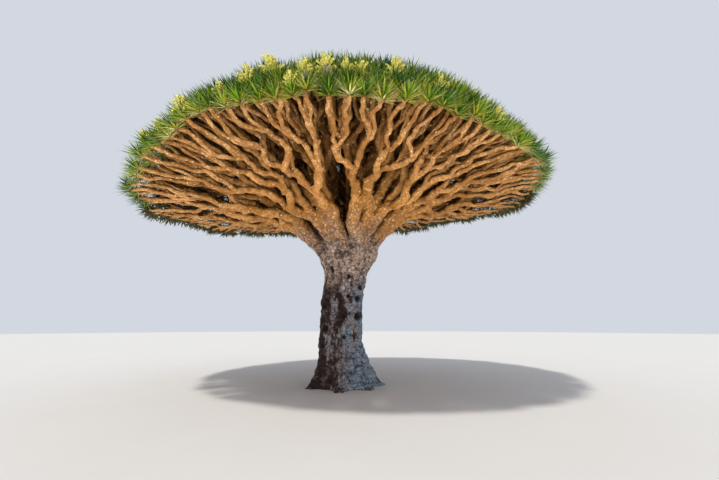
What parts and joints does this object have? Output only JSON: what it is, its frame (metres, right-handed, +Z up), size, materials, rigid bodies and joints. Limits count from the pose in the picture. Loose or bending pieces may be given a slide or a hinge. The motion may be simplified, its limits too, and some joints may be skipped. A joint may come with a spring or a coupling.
{
  "type": "dragon blood tree",
  "caption": "Umbrella-crowned tree: a stout trunk, boughs that fork again and again, and a dense dome of stiff leaf rosettes.",
  "frame": {"origin": "middle of the flat cut under the trunk, at ground level", "axes": "+Z up the trunk, +X to the tree's right and -Y to its front, as the picture shows it"},
  "size_m": [12.3741, 11.2196, 8.824],
  "materials": {
    "trunk_bark": "rough bark",
    "bough_bark": "rough bark",
    "foliage": "leathery leaves"
  },
  "bodies": {
    "root": {"bough_back_inner": "bough_bark", "bough_back_left_inner": "bough_bark", "bough_back_left_middle": "bough_bark", "bough_back_left_rim_1": "bough_bark", "bough_back_left_rim_2": "bough_bark", "bough_back_middle": "bough_bark", "bough_back_right_inner": "bough_bark", "bough_back_right_middle": "bough_bark", "bough_back_right_rim_1": "bough_bark", "bough_back_right_rim_2": "bough_bark", "bough_back_rim_1": "bough_bark", "bough_back_rim_2": "bough_bark", "bough_front_left_inner": "bough_bark", "bough_front_left_middle": "bough_bark", "bough_front_left_rim_1": "bough_bark", "bough_front_left_rim_2": "bough_bark", "bough_front_right_inner": "bough_bark", "bough_front_right_middle": "bough_bark", "bough_front_right_rim_1": "bough_bark", "bough_front_right_rim_2": "bough_bark", "bough_left_inner": "bough_bark", "bough_left_middle": "bough_bark", "bough_left_rim_1": "bough_bark", "bough_left_rim_2": "bough_bark", "bough_right_inner": "bough_bark", "bough_right_middle": "bough_bark", "bough_right_rim_1": "bough_bark", "bough_right_rim_2": "bough_bark", "foliage_back_inner": "foliage", "foliage_back_left_inner": "foliage", "foliage_back_left_middle": "foliage", "foliage_back_left_rim_1": "foliage", "foliage_back_left_rim_2": "foliage", "foliage_back_middle": "foliage", "foliage_back_right_inner": "foliage", "foliage_back_right_middle": "foliage", "foliage_back_right_rim_1": "foliage", "foliage_back_right_rim_2": "foliage", "foliage_back_rim_1": "foliage", "foliage_back_rim_2": "foliage", "foliage_front_left_inner": "foliage", "foliage_front_left_middle": "foliage", "foliage_front_left_rim_1": "foliage", "foliage_front_left_rim_2": "foliage", "foliage_front_right_inner": "foliage", "foliage_front_right_middle": "foliage", "foliage_front_right_rim_1": "foliage", "foliage_front_right_rim_2": "foliage", "foliage_left_inner": "foliage", "foliage_left_middle": "foliage", "foliage_left_rim_1": "foliage", "foliage_left_rim_2": "foliage", "foliage_right_inner": "foliage", "foliage_right_middle": "foliage", "foliage_right_rim_1": "foliage", "foliage_right_rim_2": "foliage", "trunk": "trunk_bark"}
  },
  "joints": []
}
